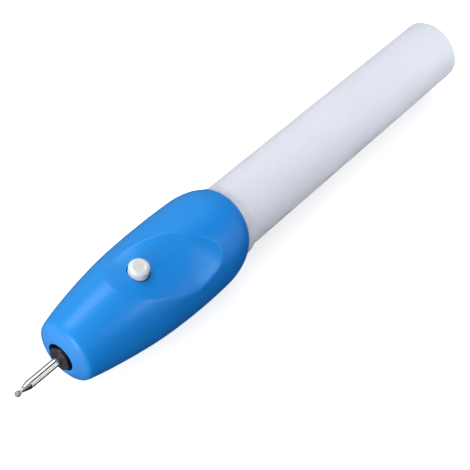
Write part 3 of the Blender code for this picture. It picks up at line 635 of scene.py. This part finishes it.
grit = Nodes("diamond_grit_bonded")
cell = grit.voronoi(7500.0)
sparkle = grit.ramp(grit.voronoi(9000.0), 0.0, 0.5)
cg = grit.mix(sparkle, (0.60, 0.60, 0.60), (0.26, 0.26, 0.265))
cg = grit.mix(grit.ramp(grit.noise(2500.0, 3.0), 0.45, 0.7), cg, (0.38, 0.37, 0.36))
grit.put(grit.b.inputs["Base Color"], cg)
grit.b.inputs["Metallic"].default_value = 0.55
grit.put(grit.b.inputs["Roughness"], grit.ramp(cell, 0.0, 0.6, 0.35, 0.7))
grit.put(grit.b.inputs["Normal"], grit.bump(cell, 0.00002, 0.6))


def metal(name, a, b, lo, hi, lines_along=None, scale=500.0, bump=0.000004, metallic=1.0):
    n = Nodes(name)
    vec = n.scaled(*lines_along) if lines_along else None
    f = n.noise(1.0 if lines_along else scale, 4.0, 0.6, vec)
    n.put(n.b.inputs["Base Color"], n.mix(n.ramp(n.noise(scale, 3.0), 0.3, 0.7), a, b))
    n.b.inputs["Metallic"].default_value = metallic
    n.put(n.b.inputs["Roughness"], n.ramp(f, 0.3, 0.7, lo, hi))
    n.put(n.b.inputs["Normal"], n.bump(f, bump, 0.5))
    return n


zinc = metal("zinc_plate", (0.46, 0.47, 0.48), (0.56, 0.57, 0.58), 0.28, 0.48, (300.0, 300.0, 4200.0))
nickel = metal("nickel_strip", (0.62, 0.60, 0.56), (0.70, 0.68, 0.64), 0.18, 0.34, (200.0, 3800.0, 3800.0))
brass = metal("brass_strip", (0.58, 0.42, 0.15), (0.68, 0.50, 0.20), 0.2, 0.38, None, 900.0)
copper = metal("enamel_wire", (0.45, 0.13, 0.04), (0.58, 0.20, 0.07), 0.22, 0.4, (5200.0, 5200.0, 900.0), 1200.0, 0.00002)
core_m = metal("core_stack", (0.17, 0.17, 0.18), (0.26, 0.26, 0.27), 0.4, 0.6, (5000.0, 200.0, 200.0), 800.0, 0.00001)
spring_m = metal("spring_wire", (0.48, 0.48, 0.47), (0.60, 0.60, 0.58), 0.2, 0.36, None, 1500.0)
ferrite = metal("ferrite_block", (0.028, 0.028, 0.030), (0.050, 0.049, 0.050), 0.6, 0.85, None, 1300.0, 0.00002, 0.0)
carbon = metal("carbon_block", (0.022, 0.022, 0.022), (0.040, 0.040, 0.040), 0.45, 0.7, None, 1800.0, 0.00001, 0.0)
jacket = moulded("cell_film", (0.055, 0.060, 0.072), (0.045, 0.050, 0.060), rough=0.36, grain=0.000003)
red = moulded("red_cover", (0.43, 0.014, 0.012), (0.38, 0.012, 0.010), rough=0.42, grain=0.000004)
dark = moulded("black_cover", (0.012, 0.012, 0.013), (0.018, 0.018, 0.019), rough=0.42, grain=0.000004)


def dress(ob, n):
    ob.data.materials.clear()
    ob.data.materials.append(n.m)


dress(grip, blue)
dress(tube, white)
dress(button, capm)
dress(chuck, bush)
dress(shank, steel)
dress(head, grit)

CARRIED = {
    "motor_carrier": carrier_m, "switch_body": black, "switch_plunger": black,
    "switch_terminal_a": brass, "switch_terminal_b": brass, "motor_can": zinc, "front_bushing": brass,
    "motor_end_cap": black, "motor_shaft": steel, "magnet_left": ferrite, "magnet_right": ferrite,
    "armature_core": core_m, "winding_a": copper, "winding_b": copper, "winding_c": copper,
    "commutator": copper, "brush_a": carbon, "brush_b": carbon, "motor_terminal_a": brass,
    "motor_terminal_b": brass, "positive_contact": nickel, "negative_contact": nickel, "tube_strip": nickel,
    "spring_plate": nickel, "cell_front": jacket, "cell_rear": jacket, "cell_front_terminal": nickel,
    "cell_rear_terminal": nickel, "tail_spring": spring_m, "wire_positive": red, "wire_motor": red,
    "wire_negative": dark,
}
for name, n in CARRIED.items():
    ob = frame["nodes"][name]
    for slot in ob.material_slots:
        slot.material = n.m

# ------------------------------------------------------------------ floor
bpy.ops.mesh.primitive_plane_add(size=36.0, location=(0.0, 0.0, 0.0))
floor = bpy.context.object
floor.name = "floor"
fl = Nodes("pale_floor")
cf = fl.mix(fl.ramp(fl.noise(14.0, 3.0), 0.3, 0.7), (0.93, 0.93, 0.93), (0.915, 0.915, 0.918))
fl.put(fl.b.inputs["Base Color"], cf)
fl.b.inputs["Roughness"].default_value = 0.6
fl.b.inputs["Specular IOR Level"].default_value = 0.25
# a lit table: a little light of its own thins out the shadow
fl.b.inputs["Emission Color"].default_value = (1.0, 1.0, 1.0, 1.0)
fl.b.inputs["Emission Strength"].default_value = 0.6
dress(floor, fl)
floor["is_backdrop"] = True
# the floor takes the pen's shadow and gives no bounce light back to it
floor.visible_diffuse = False
floor.visible_glossy = False
floor.visible_shadow = False

# ------------------------------------------------------------------ light
# A pale tent, brighter behind the pen and towards its tip, with soft boxes.
w = bpy.data.worlds.new("studio")
bpy.context.scene.world = w
w.use_nodes = True
wt = w.node_tree
bg = wt.nodes["Background"]
tc = wt.nodes.new("ShaderNodeTexCoord")
dot = wt.nodes.new("ShaderNodeVectorMath")
dot.operation = 'DOT_PRODUCT'
wt.links.new(tc.outputs["Generated"], dot.inputs[0])
dot.inputs[1].default_value = (-0.40, 0.50, 0.77)
mr = wt.nodes.new("ShaderNodeMapRange")
wt.links.new(dot.outputs["Value"], mr.inputs["Value"])
mr.inputs["From Min"].default_value = -0.75
mr.inputs["From Max"].default_value = 1.0
mr.inputs["To Min"].default_value = 0.03
mr.inputs["To Max"].default_value = 0.78
mr.interpolation_type = 'SMOOTHSTEP'
# a small dark flag overhead, mirrored as the thin line along the bit
dot2 = wt.nodes.new("ShaderNodeVectorMath")
dot2.operation = 'DOT_PRODUCT'
wt.links.new(tc.outputs["Generated"], dot2.inputs[0])
dot2.inputs[1].default_value = (0.518, -0.123, 0.846)
mf = wt.nodes.new("ShaderNodeMapRange")
wt.links.new(dot2.outputs["Value"], mf.inputs["Value"])
mf.inputs["From Min"].default_value = math.cos(math.radians(16.5))
mf.inputs["From Max"].default_value = math.cos(math.radians(11.5))
mf.inputs["To Min"].default_value = 1.0
mf.inputs["To Max"].default_value = 0.05
mul = wt.nodes.new("ShaderNodeMath")
mul.operation = 'MULTIPLY'
wt.links.new(mr.outputs["Result"], mul.inputs[0])
wt.links.new(mf.outputs["Result"], mul.inputs[1])
wt.links.new(mul.outputs[0], bg.inputs["Strength"])
bg.inputs["Color"].default_value = (0.98, 0.985, 1.0, 1.0)

CENTRE = Vector((-0.01, 0.0, 0.012))


def softbox(name, direction, distance, width, height, radiance, colour=(1, 1, 1), spin=0.0, at=CENTRE, only=()):
    """A lamp of that size and radiance, facing the pen; width lies along the pen.
    With `only`, it is flagged off from every other piece."""
    d = Vector(direction).normalized()
    la = bpy.data.lights.new(name, 'AREA')
    la.shape = 'RECTANGLE'
    la.size, la.size_y = width, height
    la.energy = radiance * math.pi * width * height
    la.color = colour
    ob = bpy.data.objects.new(name, la)
    bpy.context.scene.collection.objects.link(ob)
    z = d
    x = Vector((1, 0, 0)) - z * z.x
    x.normalize()
    y = z.cross(x)
    m = Matrix((x, y, z)).transposed().to_4x4()
    m = m @ Matrix.Rotation(math.radians(spin), 4, 'Z')
    m.translation = Vector(at) + d * distance
    ob.matrix_world = m
    ob.visible_camera = False
    if only:
        group = bpy.data.collections.new(name + "_on")
        for piece in only:
            group.objects.link(piece)
        ob.light_linking.receiver_collection = group
    return ob


# along the top of the grip's front
softbox("key", (0.10, 0.58, 0.81), 0.62, 0.40, 0.30, 5.6, at=(-0.058, 0.0, 0.024))
# low, from beyond the tip
softbox("tip", (-0.96, -0.04, 0.28), 0.75, 0.36, 0.30, 10.0)
# straight at the nose's face
softbox("nose", (-1.0, -0.08, -0.04), 0.50, 0.20, 0.20, 4.5, at=(-0.067, 0.0, 0.013), only=(grip,))
# over the near side, seen as a sheen at the dish's rear and along its rim
dish = softbox("dish", (0.30, -0.72, 0.62), 0.28, 0.075, 0.06, 11.3, at=(-0.027, -0.008, 0.024), only=(grip, button))
dish.visible_diffuse = False
# from behind the tail, on the near side
tail = softbox("tail", (0.42, -0.82, 0.30), 0.24, 0.20, 0.15, 7.0, at=(0.08, 0.0, 0.012), only=(tube,))
tail.visible_glossy = False
# low on the far side of the tube
far = softbox("far", (0.10, 0.95, 0.30), 0.40, 0.30, 0.15, 2.0, at=(0.05, 0.0, 0.012), only=(tube,))
far.visible_glossy = False
# a weak bluish fill on the grip's shaded side
fill = softbox("fill", (0.66, -0.70, 0.30), 0.34, 0.32, 0.28, 1.9, colour=(0.55, 0.63, 1.0), at=(-0.018, 0.0, 0.012), only=(grip,))
# low beside the bit, mirrored in its near side
glint = softbox("glint", (0.518, -0.79, 0.33), 0.10, 0.05, 0.17, 1.3, at=(-0.073, 0.0, 0.013), only=(shank, head))

# ------------------------------------------------------------------ camera
cam = bpy.data.cameras.new("camera")
cam_ob = bpy.data.objects.new("camera", cam)
bpy.context.scene.collection.objects.link(cam_ob)
cam.sensor_width = 36.0
cam.lens = 119.489
cam.clip_start = 0.02
cam.clip_end = 20.0
rot = Matrix(((0.652736, 0.552807, -0.518016),
              (-0.741668, 0.605719, -0.288153),
              (0.154479, 0.572284, 0.805374)))
m4 = rot.to_4x4()
m4.translation = Vector((-0.217407, -0.120422, 0.336494))
cam_ob.matrix_world = m4
bpy.context.scene.camera = cam_ob

bpy.context.scene.view_settings.view_transform = 'Standard'
bpy.context.scene.view_settings.look = 'Medium Contrast'
bpy.context.scene.view_settings.exposure = 0.0

size = {"cad": [[float(v) for v in c] for c in CAD_BOX], "visual": [[float(v) for v in c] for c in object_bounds()]}
